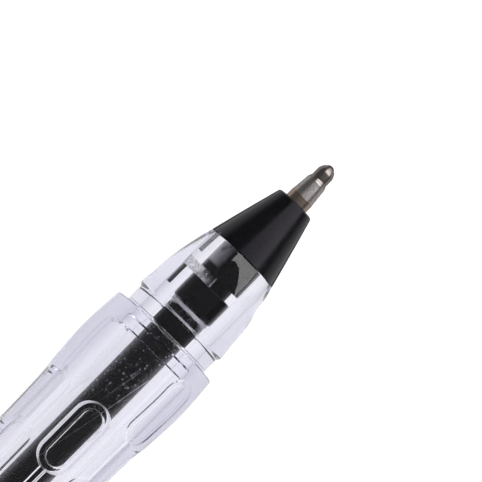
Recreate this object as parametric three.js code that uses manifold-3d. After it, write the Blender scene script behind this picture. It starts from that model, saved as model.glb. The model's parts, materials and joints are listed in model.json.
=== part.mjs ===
// A capped stick ballpoint pen. It lies on its grip, the rim of the posted cap and the clip.
// Millimetres, +Z up, the point towards +X. Along the pen, s runs from the point to the tail.
import * as THREE from 'three';
import { mergeVertices } from 'three/addons/utils/BufferGeometryUtils.js';
import Module from 'manifold-3d';

const wasm = await Module();
wasm.setup();

// Writing tip
const ballDiameter = 1.0;
const ballReveal = 0.26;
const ballPlay = 0.03;
const tipLipWall = 0.09;
const tipDomeLength = 0.7;
const tipFrontRadius = 0.8;
const tipFrontLength = 0.7;
const tipStepLength = 0.34;
const tipConeRadius = 0.94;
const tipConeLength = 1.75;
const tipConeRise = 0.19;
const tipCollarStep = 0.04;
const tipCollarReveal = 0.85;
const tipInsertLength = 4.0;
const tipChannelRadius = 0.3;

// Ink tube
const inkTubeRadius = 1.79;
const inkTubeWall = 0.5;
const inkTubeLength = 100;
const inkLength = 82;
const followerLength = 4;
const inkPlay = 0.02;

// Nose cone, its plug and the socket for the ink tube
const pressFit = 0.02;
const noseFaceRadius = 1.82;
const noseEdgeRound = 0.2;
const noseLength = 6.5;
const noseTaper = 0.28;
const noseTaperFade = 0.0022;
const socketWall = 0.12;
const plugStep = 0.24;
const plugLength = 3.3;
const grooveLength = 1.0;
const grooveDepth = 0.65;
const flangeLength = 2.5;
const flangeRound = 0.4;
const neckGapLength = 0.45;
const neckGapDepth = 0.5;
const socketLength = 2.35;
const socketFloor = 0.3;
const inkChamberRadius = 0.9;

// Barrel
const plugFit = 0.03;
const noseStep = 0.07;
const frontConeLength = 4.5;
const neckRadius = 4.62;
const neckRound = 0.7;
const neckRunLength = 1.9;
const beadRiseLength = 1.1;
const beadHeight = 0.23;
const beadFlatLength = 0.15;
const beadFallLength = 0.45;
const capSeatLength = 1.6;
const shoulderRound = 0.35;
const gripCrestPlace = 4.1;
const gripRadius = 5.9;
const gripSpread = 4.6;
const gripLength = 37;
const barrelRadius = 5.34;
const barrelRearRadius = 5.2;
const bodyLength = 58;
const tailNeckLength = 24;
const edgeRound = 0.12;
const boreStep = 0.7;
const boreStepPlace = 1.9;
const snapLugWidth = 1.5;
const snapLugLength = 0.5;
const snapLugHeight = 0.35;
const snapLugAngle = -52;

// Obround pockets pressed into the grip, in rows that alternate round the barrel
const rowCount = 8;
const rowFacing = 4.3;
const pocketLength = 7.8;
const pocketWidth = 3.1;
const pocketDepth = 0.26;
const pocketPitch = 12.08;
const pocketStart = 1.75;
const rowStagger = 6.5;
const rowPockets = [2, 3];
const channelWidth = 0.7;

// Tail plug
const tailPlugHeadLength = 2.0;
const tailPlugInset = 0.1;
const tailPlugSpigotLength = 5;
const tailVentRadius = 0.5;

// Cap, posted on the tail
const capFit = 0.08;
const capWall = 0.57;
const capSeatGap = 0.05;
const capRimLength = 2.2;
const capRimRound = 0.24;
const capLipLength = 1.5;
const capLipTaper = 0.4;
const capRoom = 16;
const capEndTaper = 0.2;
const crownHeadLength = 1.8;
const crownSpigotLength = 3;
const crownFit = 0.03;
const crownRound = 0.6;
const ventRadius = 0.8;
const ventRingRadius = 3.0;
const ventCount = 4;

// Clip
const clipWidth = 3.2;
const clipThickness = 0.6;
const clipLength = 34;
const clipStandoff = 1.6;
const clipBendRadius = 1.0;
const clipTabDepth = 1.6;
const clipGap = 0.3;
const clipCurlLength = 5.5;
const clipToeRise = 0.9;
const floorGap = 0.02;

// Faces round the large and the small pieces, steps in a rounded corner and a curve, how much closer
// the grip's rings stand near the shoulder, and how near two corners are one
const roundFaces = 32;
const fineFaces = 16;
const ventFaces = 10;
const cornerSteps = 2;
const gripSteps = 13;
const gripCrowding = 1.5;
const noseSteps = 4;
const bendSteps = 5;
const arcSteps = 5;
const mergeDistance = 1e-5;

// Places along the pen
const ballRadius = ballDiameter / 2;
const tipDomeEnd = ballReveal + tipDomeLength;
const tipFrontEnd = tipDomeEnd + tipFrontLength;
const tipConeStart = tipFrontEnd + tipStepLength;
const tipConeEnd = tipConeStart + tipConeLength;
const noseFace = tipConeEnd + tipCollarReveal;
const noseEnd = noseFace + noseLength;
const tipEnd = noseFace + tipInsertLength;
const grooveStart = noseEnd + plugLength;
const grooveEnd = grooveStart + grooveLength;
const flangeEnd = grooveEnd + flangeLength;
const socketStart = flangeEnd + neckGapLength;
const socketEnd = socketStart + socketLength;
const inkTubeStart = socketStart + socketFloor;
const inkTubeEnd = inkTubeStart + inkTubeLength;
const inkEnd = inkTubeStart + inkLength;
const followerEnd = inkEnd + followerLength;
const frontConeEnd = noseEnd + frontConeLength;
const beadStart = frontConeEnd + neckRunLength;
const beadTop = beadStart + beadRiseLength;
const beadTopEnd = beadTop + beadFlatLength;
const beadEnd = beadTopEnd + beadFallLength;
const shoulder = beadEnd + capSeatLength;
const gripCrest = shoulder + gripCrestPlace;
const gripEnd = shoulder + gripLength;
const tailShoulder = gripEnd + bodyLength;
const barrelEnd = tailShoulder + tailNeckLength;
const boreStepAt = shoulder + boreStepPlace;
const capRim = tailShoulder + capSeatGap;
const capEnd = barrelEnd + tailPlugHeadLength + capRoom;
const crownEnd = capEnd + crownHeadLength;
const penLength = crownEnd;

// Radii that follow from the fits
const tipCollarRadius = tipConeRadius + tipConeRise + tipCollarStep;
const socketBore = inkTubeRadius + pressFit;
const socketRadius = socketBore + socketWall;
const plugRadius = socketRadius + plugStep;
const boreFront = plugRadius + plugFit;
const boreRear = boreFront + boreStep;
const noseRadiusAt = (s) => {
  const run = s - noseFace;
  return noseFaceRadius + noseTaper * run - noseTaperFade * run * run;
};
const barrelFrontRadius = noseRadiusAt(noseEnd) + noseStep;
const capLipRadius = neckRadius + capFit;
const capBore = neckRadius + beadHeight + capFit;
const capRadius = capBore + capWall;
const capEndRadius = capRadius - capEndTaper;
const capRimRadius = gripRadius;
const gripRadiusAt = (s) => {
  const spread = (s - gripCrest) / gripSpread;
  const taper = Math.max(0, s - gripEnd) / bodyLength * (barrelRadius - barrelRearRadius);
  return barrelRadius - taper + (gripRadius - barrelRadius) / (1 + spread * spread);
};

// Clip heights above the pen's axis, and the roll, from straight down, that lets its edge reach
// the floor. clipAngle is the same roll from straight up towards -Y.
const clipInner = capRadius + clipStandoff;
const clipOuter = clipInner + clipThickness;
const restHeight = gripRadius * Math.cos(Math.PI / roundFaces);
const clipReach = Math.hypot(clipOuter, clipWidth / 2);
const clipRoll = Math.acos((restHeight - floorGap) / clipReach) + Math.atan2(clipWidth / 2, clipOuter);
const clipAngle = Math.PI - clipRoll;
const clipSide = clipOuter * Math.sin(clipRoll) + clipWidth / 2 * Math.cos(clipRoll);
const clipTabAt = capEnd - clipGap - clipThickness / 2;

// Corner points [s, r, round] become a lathe outline with the named corners rounded
function outline(corners) {
  const path = new THREE.Path();
  corners.forEach(([s, r, round = 0], i) => {
    if (round === 0) {
      if (i === 0) path.moveTo(r, s);
      else path.lineTo(r, s);
      return;
    }
    const corner = new THREE.Vector2(r, s);
    const toward = ([otherS, otherR]) => {
      const way = new THREE.Vector2(otherR, otherS).sub(corner);
      return way.setLength(Math.min(round, way.length() / 2)).add(corner);
    };
    const before = toward(corners[i - 1]);
    const after = toward(corners[i + 1]);
    path.lineTo(before.x, before.y);
    path.quadraticCurveTo(r, s, after.x, after.y);
  });
  return path.getPoints(cornerSteps);
}

// Turns an outline about the pen's axis, with a flat facet straight down
function turned(corners, faces = roundFaces) {
  return new THREE.LatheGeometry(outline(corners), faces, Math.PI / faces);
}

// A ring outline: its outer corners from front to rear, then its inner corners back to the front
function turnedRing(outer, inner, faces = roundFaces) {
  return turned([...outer, ...inner, outer[0]], faces);
}

function toSolid(geometry) {
  const bare = geometry.clone();
  bare.deleteAttribute('normal');
  bare.deleteAttribute('uv');
  const merged = mergeVertices(bare, mergeDistance);
  return new wasm.Manifold(new wasm.Mesh({
    numProp: 3,
    vertProperties: new Float32Array(merged.attributes.position.array),
    triVerts: new Uint32Array(merged.index.array),
  }));
}

function toGeometry(solid) {
  const mesh = solid.getMesh();
  const geometry = new THREE.BufferGeometry();
  geometry.setAttribute('position', new THREE.BufferAttribute(mesh.vertProperties, 3));
  geometry.setIndex(new THREE.BufferAttribute(mesh.triVerts, 1));
  geometry.computeVertexNormals();
  return geometry;
}

// Puts a shape drawn in (s, height above the axis, sideways) at a roll angle round the pen,
// counted in radians from straight up towards -Y
function atRoll(geometry, roll) {
  const along = new THREE.Vector3(0, 1, 0);
  const up = new THREE.Vector3(-Math.sin(roll), 0, Math.cos(roll));
  const side = new THREE.Vector3().crossVectors(along, up);
  return geometry.applyMatrix4(new THREE.Matrix4().makeBasis(along, up, side));
}

// A block that spans two places along the pen, two heights and a width, at a roll angle
function block(from, to, low, high, width, roll) {
  const geometry = new THREE.BoxGeometry(to - from, high - low, width);
  geometry.translate((from + to) / 2, (low + high) / 2, 0);
  return atRoll(geometry, roll);
}

function makeBall() {
  const geometry = new THREE.SphereGeometry(ballRadius, fineFaces, fineFaces / 2);
  return geometry.translate(0, ballRadius, 0);
}

function makeTipBody() {
  const cupRadius = ballRadius + ballPlay;
  const lipAngle = Math.acos((ballRadius - ballReveal) / cupRadius);
  const floorAngle = Math.PI - Math.asin(tipChannelRadius / cupRadius);
  const cup = Array.from({ length: arcSteps + 1 }, (_, i) => {
    const angle = floorAngle + (lipAngle - floorAngle) * i / arcSteps;
    return [ballRadius - cupRadius * Math.cos(angle), cupRadius * Math.sin(angle)];
  });
  const lipRadius = cupRadius * Math.sin(lipAngle) + tipLipWall;
  const outer = [
    [ballReveal, lipRadius],
    [ballReveal + tipDomeLength / 2, (lipRadius + tipFrontRadius) / 2 + tipLipWall / 2],
    [tipDomeEnd, tipFrontRadius],
    [tipFrontEnd, tipFrontRadius],
    [tipConeStart, tipConeRadius],
    [tipConeEnd, tipConeRadius + tipConeRise],
    [tipConeEnd, tipCollarRadius],
    [tipEnd, tipCollarRadius],
  ];
  return turnedRing(outer, [[tipEnd, tipChannelRadius], ...cup], fineFaces);
}

function makeNoseCone() {
  const cone = Array.from({ length: noseSteps }, (_, i) => {
    const s = noseFace + noseEdgeRound + (noseLength - noseEdgeRound) * (i + 1) / noseSteps;
    return [s, noseRadiusAt(s)];
  });
  const tipBore = tipCollarRadius + pressFit;
  const outer = [
    [noseFace, tipBore],
    [noseFace, noseFaceRadius, noseEdgeRound],
    ...cone,
    [noseEnd, plugRadius],
    [grooveStart, plugRadius],
    [grooveStart, plugRadius - grooveDepth],
    [grooveEnd, plugRadius - grooveDepth],
    [grooveEnd, plugRadius],
    [flangeEnd, plugRadius, flangeRound],
    [flangeEnd, socketRadius - neckGapDepth],
    [socketStart, socketRadius - neckGapDepth],
    [socketStart, socketRadius],
    [socketEnd, socketRadius],
  ];
  const inner = [
    [socketEnd, socketBore],
    [inkTubeStart, socketBore],
    [inkTubeStart, inkChamberRadius],
    [tipEnd, inkChamberRadius],
    [tipEnd, tipBore],
  ];
  return turnedRing(outer, inner);
}

function makeInkTube() {
  const bore = inkTubeRadius - inkTubeWall;
  return turnedRing(
    [[inkTubeStart + pressFit, inkTubeRadius], [inkTubeEnd, inkTubeRadius]],
    [[inkTubeEnd, bore], [inkTubeStart + pressFit, bore]],
  );
}

// A filling of the ink tube between two places
function makeFilling(from, to) {
  const radius = inkTubeRadius - inkTubeWall - inkPlay;
  return turned([[from, 0], [from, radius], [to, radius], [to, 0]]);
}

function obround(length, width) {
  const half = width / 2;
  const run = length / 2 - half;
  const shape = new THREE.Shape();
  shape.moveTo(-run, -half);
  shape.lineTo(run, -half);
  shape.absarc(run, 0, half, -Math.PI / 2, Math.PI / 2);
  shape.lineTo(-run, half);
  shape.absarc(-run, 0, half, Math.PI / 2, 1.5 * Math.PI);
  return shape;
}

// Everything in the rows of pockets, before it is trimmed to the pockets' floor
function makePocketTools() {
  const tools = [];
  for (let row = 0; row < rowCount; row += 1) {
    const late = row % 2 === 0;
    const roll = THREE.MathUtils.degToRad(rowFacing + row * 360 / rowCount);
    const start = shoulder + pocketStart + (late ? rowStagger : 0);
    const pockets = rowPockets[late ? 0 : 1];
    for (let i = 0; i < pockets; i += 1) {
      const place = start + i * pocketPitch;
      const prism = new THREE.ExtrudeGeometry(obround(pocketLength, pocketWidth), {
        depth: gripRadius,
        bevelEnabled: false,
        curveSegments: arcSteps,
      });
      prism.rotateX(-Math.PI / 2);
      prism.translate(place + pocketLength / 2, gripRadius / 2, 0);
      tools.push(toSolid(atRoll(prism, roll)));
      if (i > 0) {
        const from = place - pocketPitch + pocketLength - pocketWidth / 2;
        const channel = block(from, place + pocketWidth / 2, gripRadius / 2, 2 * gripRadius, channelWidth, roll);
        tools.push(toSolid(channel));
      }
    }
  }
  return tools;
}

function makeBarrel() {
  const gripFrom = shoulder + shoulderRound;
  const grip = Array.from({ length: gripSteps }, (_, i) => {
    const s = gripFrom + (gripEnd - gripFrom) * ((i + 1) / gripSteps) ** gripCrowding;
    return [s, gripRadiusAt(s)];
  });
  const outer = [
    [noseEnd, boreFront],
    [noseEnd, barrelFrontRadius, edgeRound],
    [frontConeEnd, neckRadius, neckRound],
    [beadStart, neckRadius],
    [beadTop, neckRadius + beadHeight, shoulderRound],
    [beadTopEnd, neckRadius + beadHeight],
    [beadEnd, neckRadius],
    [shoulder, neckRadius],
    [shoulder, gripRadiusAt(shoulder), shoulderRound],
    ...grip,
    [tailShoulder, gripRadiusAt(tailShoulder), edgeRound],
    [tailShoulder, neckRadius],
    [barrelEnd, neckRadius, edgeRound],
  ];
  const inner = [
    [barrelEnd, boreRear],
    [boreStepAt, boreRear],
    [boreStepAt, boreFront],
  ];
  const floor = [[gripFrom, 0], ...[[gripFrom, gripRadiusAt(gripFrom)], ...grip], [gripEnd, 0]]
    .map(([s, r]) => [s, Math.max(0, r - pocketDepth)]);
  const pockets = wasm.Manifold.union(makePocketTools()).subtract(toSolid(turned(floor)));
  const lugLow = boreFront - snapLugHeight;
  const lugFrom = (grooveStart + grooveEnd - snapLugLength) / 2;
  const lugs = [0, Math.PI].map((turn) => {
    const roll = THREE.MathUtils.degToRad(snapLugAngle) + turn;
    const high = boreFront + snapLugHeight;
    return toSolid(block(lugFrom, lugFrom + snapLugLength, lugLow, high, snapLugWidth, roll));
  });
  const shell = toSolid(turnedRing(outer, inner)).subtract(pockets);
  return toGeometry(wasm.Manifold.union([shell, ...lugs]));
}

function makeTailPlug() {
  const headRadius = neckRadius - tailPlugInset;
  const spigotRadius = boreRear - plugFit;
  const spigotStart = barrelEnd - tailPlugSpigotLength;
  const headEnd = barrelEnd + tailPlugHeadLength;
  const outer = [
    [spigotStart, tailVentRadius],
    [spigotStart, spigotRadius, edgeRound],
    [barrelEnd, spigotRadius],
    [barrelEnd, headRadius],
    [headEnd, headRadius, crownRound],
  ];
  return turnedRing(outer, [[headEnd, tailVentRadius]]);
}

// The slot at the cap's end that the clip's tab passes through
function makeTabSlot() {
  const half = clipThickness / 2 + clipGap;
  const low = capBore - clipTabDepth - clipGap;
  return toSolid(block(clipTabAt - half, clipTabAt + half, low, clipOuter, clipWidth + 2 * clipGap, clipAngle));
}

function makeCapShell() {
  const rimEnd = capRim + capRimLength;
  const outer = [
    [capRim, capLipRadius + capLipTaper / 2],
    [capRim, capRimRadius, edgeRound],
    [rimEnd, capRimRadius, capRimRound],
    [rimEnd + edgeRound, capRadius],
    [capEnd, capEndRadius],
  ];
  const inner = [
    [capEnd, capBore],
    [capRim + capLipLength + capLipTaper, capBore],
    [capRim + capLipLength, capLipRadius],
    [capRim + capLipTaper, capLipRadius],
  ];
  return toGeometry(toSolid(turnedRing(outer, inner)).subtract(makeTabSlot()));
}

function makeCapCrown() {
  const spigotRadius = capBore - crownFit;
  const body = turned([
    [capEnd - crownSpigotLength, 0],
    [capEnd - crownSpigotLength, spigotRadius, edgeRound],
    [capEnd, spigotRadius],
    [capEnd, capEndRadius],
    [crownEnd, capEndRadius, crownRound],
    [crownEnd, 0],
  ]);
  const through = 2 * (crownSpigotLength + crownHeadLength);
  const vents = Array.from({ length: ventCount }, (_, i) => {
    const roll = clipAngle + (i + 0.5) * 2 * Math.PI / ventCount;
    const hole = new THREE.CylinderGeometry(ventRadius, ventRadius, through, ventFaces);
    hole.rotateZ(Math.PI / 2);
    hole.translate(capEnd, ventRingRadius, 0);
    return toSolid(atRoll(hole, roll));
  });
  const cuts = wasm.Manifold.union([makeTabSlot(), ...vents]);
  return toGeometry(toSolid(body).subtract(cuts));
}

// The clip's side outline: a strip of even thickness along its bent middle line
function makeClip() {
  const middle = clipInner + clipThickness / 2;
  const bendEnd = clipTabAt - clipBendRadius;
  const touch = capRadius + clipGap + clipThickness / 2;
  const toeAt = bendEnd - clipLength;
  const dipAt = toeAt + clipCurlLength / 2;
  const line = new THREE.Path();
  line.moveTo(clipTabAt, capBore - clipTabDepth);
  line.lineTo(clipTabAt, middle - clipBendRadius);
  line.quadraticCurveTo(clipTabAt, middle, bendEnd, middle);
  line.lineTo(toeAt + 2 * clipCurlLength, middle);
  line.bezierCurveTo(toeAt + clipCurlLength, middle, toeAt + clipCurlLength, touch, dipAt, touch);
  line.quadraticCurveTo(toeAt + clipThickness, touch, toeAt, touch + clipToeRise);
  const points = line.getPoints(bendSteps);
  const offset = (side) => points.map((point, i) => {
    const before = points[Math.max(0, i - 1)];
    const after = points[Math.min(points.length - 1, i + 1)];
    const way = after.clone().sub(before).setLength(side * clipThickness / 2);
    return new THREE.Vector2(point.x - way.y, point.y + way.x);
  });
  const shape = new THREE.Shape([...offset(1), ...offset(-1).reverse()]);
  const strip = new THREE.ExtrudeGeometry(shape, { depth: clipWidth, bevelEnabled: false });
  strip.translate(0, 0, -clipWidth / 2);
  return atRoll(strip, clipAngle);
}

const blackPlastic = { color: 0x101012, roughness: 0.42, metalness: 0 };
const finishes = {
  writing_ball: { color: 0x6a6a6c, roughness: 0.2, metalness: 1 },
  tip_body: { color: 0xb9ada0, roughness: 0.28, metalness: 1 },
  nose_cone: blackPlastic,
  ink_tube: { color: 0xe8e8ec, roughness: 0.3, metalness: 0, transparent: true, opacity: 0.4 },
  ink_column: { color: 0x050507, roughness: 0.3, metalness: 0 },
  ink_follower: { color: 0xe6dfc8, roughness: 0.3, metalness: 0, transparent: true, opacity: 0.6 },
  barrel: { color: 0xe6e4f2, roughness: 0.06, metalness: 0, transparent: true, opacity: 0.35 },
  tail_plug: blackPlastic,
  cap_shell: blackPlastic,
  cap_clip: { color: 0xc9c9cc, roughness: 0.22, metalness: 1 },
  cap_crown: blackPlastic,
};

const shapes = {
  writing_ball: makeBall(),
  tip_body: makeTipBody(),
  nose_cone: makeNoseCone(),
  ink_tube: makeInkTube(),
  ink_column: makeFilling(inkTubeStart + 2 * inkPlay, inkEnd),
  ink_follower: makeFilling(inkEnd + inkPlay, followerEnd),
  barrel: makeBarrel(),
  tail_plug: makeTailPlug(),
  cap_shell: makeCapShell(),
  cap_clip: makeClip(),
  cap_crown: makeCapCrown(),
};

// The pen's s axis is turned to -X, and its middle goes above the origin
const pen = new THREE.Group();
pen.rotation.z = Math.PI / 2;
pen.position.set(penLength / 2, (clipSide - restHeight) / 2, restHeight);
for (const [name, geometry] of Object.entries(shapes)) {
  const mesh = new THREE.Mesh(geometry, new THREE.MeshStandardMaterial(finishes[name]));
  mesh.name = name;
  pen.add(mesh);
}

export default pen;
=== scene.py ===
"""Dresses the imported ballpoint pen: clear barrel, black nose and cap, metal tip, studio and camera.

Lengths are in millimetres and become metres where a piece is made. Along the pen, s runs from the
point to the tail. A roll is an angle round the pen, from straight up towards -Y.
"""

import json
import math

import bpy
import numpy
from mathutils import Matrix, Vector


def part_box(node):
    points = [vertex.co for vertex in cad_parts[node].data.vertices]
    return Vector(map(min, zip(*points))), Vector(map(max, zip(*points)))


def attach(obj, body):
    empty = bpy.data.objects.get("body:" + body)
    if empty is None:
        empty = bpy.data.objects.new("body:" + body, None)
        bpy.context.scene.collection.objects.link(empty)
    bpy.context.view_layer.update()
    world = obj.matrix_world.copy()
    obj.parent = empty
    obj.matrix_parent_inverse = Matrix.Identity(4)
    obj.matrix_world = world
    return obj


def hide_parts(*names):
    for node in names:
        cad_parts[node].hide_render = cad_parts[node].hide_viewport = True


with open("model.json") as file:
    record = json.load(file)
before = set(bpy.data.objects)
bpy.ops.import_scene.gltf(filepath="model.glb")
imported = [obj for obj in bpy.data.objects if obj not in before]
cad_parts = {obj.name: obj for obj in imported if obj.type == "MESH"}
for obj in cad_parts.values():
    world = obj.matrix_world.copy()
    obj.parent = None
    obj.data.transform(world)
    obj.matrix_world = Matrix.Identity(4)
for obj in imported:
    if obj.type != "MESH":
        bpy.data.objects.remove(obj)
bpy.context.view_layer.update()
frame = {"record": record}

MM = 0.001
ON_AXIS = 1e-6
CORNER_SHARE = 0.45
FIT_GAP = 0.03

# Angles in degrees beyond which an edge is sharp
SHARP = 32
CLIP_SHARP = 40
BARREL_SHARP = 50

# Places taken from the frame
nose_low, nose_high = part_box("nose_cone")
barrel_low, barrel_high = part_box("barrel")
cap_low, cap_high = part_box("cap_shell")
crown_low, crown_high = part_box("cap_crown")
plug_low, plug_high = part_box("tail_plug")
tube_low, tube_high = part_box("ink_tube")
tip_low, tip_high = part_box("tip_body")
ball_low, ball_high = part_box("writing_ball")
ink_low, ink_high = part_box("ink_column")
grease_low, grease_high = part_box("ink_follower")
POINT_X = ball_high.x
AXIS_Y = (nose_low.y + nose_high.y) / 2
AXIS_Z = (nose_low.z + nose_high.z) / 2


def along(x):
    """The place s of a frame x."""
    return (POINT_X - x) / MM


def place(s, r, roll):
    """The point of the frame at s, at a radius and a roll round the pen."""
    y = AXIS_Y - r * math.sin(roll) * MM
    z = AXIS_Z + r * math.cos(roll) * MM
    return Vector((POINT_X - s * MM, y, z))


# Writing tip
BALL_RADIUS = (ball_high.x - ball_low.x) / 2 / MM
BALL_STEPS = 24
TIP_START = along(tip_high.x)
TIP_END = along(tip_low.x)
TIP_LIP_RADIUS = 0.52
TIP_DOME_END = 0.98
TIP_FRONT_RADIUS = 0.83
TIP_FRONT_END = 1.66
TIP_CONE_START = 2.0
TIP_CONE_RADIUS = 0.98
TIP_CONE_END = 3.75
TIP_CONE_END_RADIUS = 1.15
TIP_COLLAR_RADIUS = 1.17
TIP_COLLAR_EDGE = 0.02
TIP_CHANNEL_RADIUS = 0.3
TIP_CUP_STEPS = 10

# Nose cone
NOSE_FACE = along(nose_high.x)
NOSE_LENGTH = 6.69
NOSE_END = NOSE_FACE + NOSE_LENGTH
NOSE_FACE_RADIUS = 1.88
NOSE_EDGE = 0.22
NOSE_TAPER = 0.28
NOSE_TAPER_FADE = 0.0022
NOSE_REAR_EDGE = 0.08
TIP_BORE = 1.18
PLUG_RADIUS = 2.17
GROOVE_START = NOSE_END + 3.15
GROOVE_END = GROOVE_START + 1.0
GROOVE_RADIUS = 1.52
FLANGE_END = GROOVE_END + 2.5
NECK_GAP_END = FLANGE_END + 0.55
NECK_GAP_RADIUS = 1.43
SOCKET_RADIUS = 1.93
SOCKET_BORE = 1.81
SOCKET_END = along(nose_low.x)
INK_CHAMBER_RADIUS = 0.9

# Ink tube and what is in it
TUBE_START = along(tube_high.x)
TUBE_END = along(tube_low.x)
TUBE_SEAT = TUBE_START - 0.02
TUBE_RADIUS = 1.79
TUBE_BORE = 1.29
INK_RADIUS = TUBE_BORE + 0.01
INK_RINGS = 40
GREASE_ROUND = 0.6
GREASE_TOP = 0.1
GREASE_TOP_SHARE = 0.6

# Barrel
BORE_FRONT = 2.2
BORE_REAR = 2.9
BARREL_FACE = NOSE_END + 0.01
FRONT_START = NOSE_END + 0.15
BARREL_END = along(barrel_low.x)
FRONT_RADIUS = 3.67
FRONT_END_RADIUS = 4.7
FRONT_CURVE = 1.75
NECK_RADIUS = 4.62
BEAD_START = NOSE_END + 6.23
BEAD_TOP = BEAD_START + 1.1
BEAD_TOP_END = BEAD_TOP + 0.35
BEAD_END = BEAD_TOP_END + 0.25
BEAD_HEIGHT = 0.24
SHOULDER = BEAD_END + 1.69
SHOULDER_ROUND = 0.42
BORE_MIDDLE = 2.36
BORE_STEP_AT = SHOULDER + 0.83
BORE_REAR_AT = SHOULDER + 1.97
BORE_CHAMFER = 0.1
OUTSIDE_RADIUS = BORE_REAR + 1
BARREL_FACES = 560
GRIP_RADIUS = (barrel_high.z - barrel_low.z) / 2 / MM
GRIP_CREST = SHOULDER + 4.1
GRIP_SPREAD = 4.6
GRIP_END = SHOULDER + 37
BARREL_RADIUS = 5.34
BARREL_REAR_RADIUS = 5.2
TAIL_SHOULDER = GRIP_END + 58
TAIL_ROUND_START = TAIL_SHOULDER - 0.3
PLUG_HEAD_RADIUS = NECK_RADIUS - 0.1
PLUG_VENT_RADIUS = 0.5

# Details round the nose plug
COLLAR_START = FLANGE_END + 0.02
COLLAR_END = NECK_GAP_END - 0.12
COLLAR_RADIUS = 2.02
COLLAR_BORE = NECK_GAP_RADIUS - 0.05
DETAIL_TOP = BORE_FRONT + 0.01
CONTACT_FOOT = BORE_FRONT - 0.04
CONTACT_ROLLS = {"side": (math.radians(-75), math.radians(-93)), "low": (0.48, 0.69)}
CONTACT_REACHES = {
    "front": (NOSE_END + 0.05, NOSE_END + 2.4),
    "rear": (GROOVE_END - 0.05, FLANGE_END - 0.5),
}
LUG_GAP = 0.04
LUG_FOOT = GROOVE_RADIUS + 0.03
LUG_ROLLS = (math.radians(-100), math.radians(-8))
LUG_FACES = 32

# Dent beside the moulding gate
GATE_AT = NOSE_END + 2.3
GATE_LENGTH = 0.9
GATE_TURN = 0.4
GATE_DEPTH = 0.13

# Obround pockets of the grip
ROWS = 8
ROW_FACING = math.radians(4.9)
POCKET_LENGTH = 7.65
POCKET_WIDTH = 3.45
MOULD_HALVES = 2
RIM_WIDTH = 0.2
RIM_DEPTH = 0.19
SIDE_RIM_WIDTH = 0.3
SIDE_RIM_DEPTH = 0.08
SIDE_RIM_TILT = 0.75
BACK_SIDE_RIM_DEPTH = 0.04
LEDGE_WIDTH = 0.43
LEDGE_FALL = 0.02
LIP_WIDTH = 0.09
LIP_DEPTH = 0.08
LIP_ASIDE = 0.2
SIDE_LIP_DEPTH = 0.015
POCKET_PITCH = 12.08
POCKET_START = SHOULDER + 1.5
PATTERN_START = POCKET_START - 0.2
ROW_STAGGER = 6.75
LATE_POCKETS = 2
EARLY_POCKETS = 3
CHANNEL_WIDTH = 0.8
FINE_STEP = 0.06
PLAIN_STEP = 0.4

# Cap
CAP_RIM = along(cap_high.x)
CAP_END = along(cap_low.x)
CAP_RIM_RADIUS = (cap_high.z - cap_low.z) / 2 / MM
CAP_BAND_END = CAP_RIM + 2.2
CAP_BAND_FOOT = CAP_RIM + 2.4
CAP_RADIUS = 5.5
CAP_END_RADIUS = 5.3
CAP_END_EDGE = 0.1
CAP_LIP = 4.7
CAP_MOUTH = CAP_LIP + 0.2
CAP_LIP_START = CAP_RIM + 0.4
CAP_LIP_END = CAP_RIM + 1.5
CAP_BORE = 4.93
CAP_BORE_START = CAP_RIM + 1.9
CROWN_START = along(crown_high.x)
CROWN_END = along(crown_low.x)
CROWN_HEAD = CAP_END + 0.05
VENTS = 4
VENT_RADIUS = 0.8
VENT_RING = 3.0
VENT_SINK = 0.15
VENT_SINK_WIDTH = 0.2
VENT_START = CROWN_START - 1
VENT_END = CROWN_END + 0.05

# Clip
CLIP_WIDTH = 3.2
CLIP_THICKNESS = 0.6
CLIP_EDGE = 0.16
CLIP_EDGE_STEPS = 4
CLIP_LENGTH = 34
CLIP_STANDOFF = 1.6
CLIP_BEND = 1.0
CLIP_TAB_DEPTH = 1.6
CLIP_GAP = 0.3
CLIP_CURL = 5.5
CLIP_TOE_RISE = 0.9
CLIP_TOE_ROUND = 1.1
CLIP_TAB_AT = CAP_END - CLIP_GAP - CLIP_THICKNESS / 2
SLOT_TOP = CAP_RADIUS + 2
joints = frame["record"]["behaviour"]["joints"]
flex_axis = next(joint["axis"] for joint in joints if joint["name"] == "clip_flex")
CLIP_ROLL = math.atan2(-flex_axis[2], -flex_axis[1])

# Looks
POLYSTYRENE_IOR = 1.585
POLYPROPYLENE_IOR = 1.49
SATIN_IOR = 1.28
INK_IOR = 1.45
GREASE_IOR = 1.46
CAST_COLOUR = (0.05, 0, 0.62, 1)
CAST_DENSITY = 28
BLACK_SHEEN = (0.9, 0.84, 1, 1)
NOSE_BLACKS = ((0.004, 0.0038, 0.0045), (0.0065, 0.006, 0.007))
CAP_BLACKS = ((0.003, 0.003, 0.0034), (0.0055, 0.0053, 0.006))
INK_BLACK = (0.004, 0.004, 0.006)
SPECK_WHITE = (0.95, 0.95, 1.0)
# Painted reflection: the silver of the air gap round the nose plug
AIR_GAP_REFLECTION_SILVER = (0.72, 0.7, 0.76, 1)
CARBIDE_GREYS = ((0.1, 0.1, 0.105), (0.16, 0.16, 0.17))
TIP_GREYS = ((0.27, 0.235, 0.222), (0.32, 0.285, 0.275))
RUBBED_METAL = (0.55, 0.52, 0.51, 1)
TIP_STAIN = (0.44, 0.35, 0.295, 1)
# Painted shade on the front of the snap lug
CRAZED_PAINTED_SHADE = (0.2, 0.19, 0.21)
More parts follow.
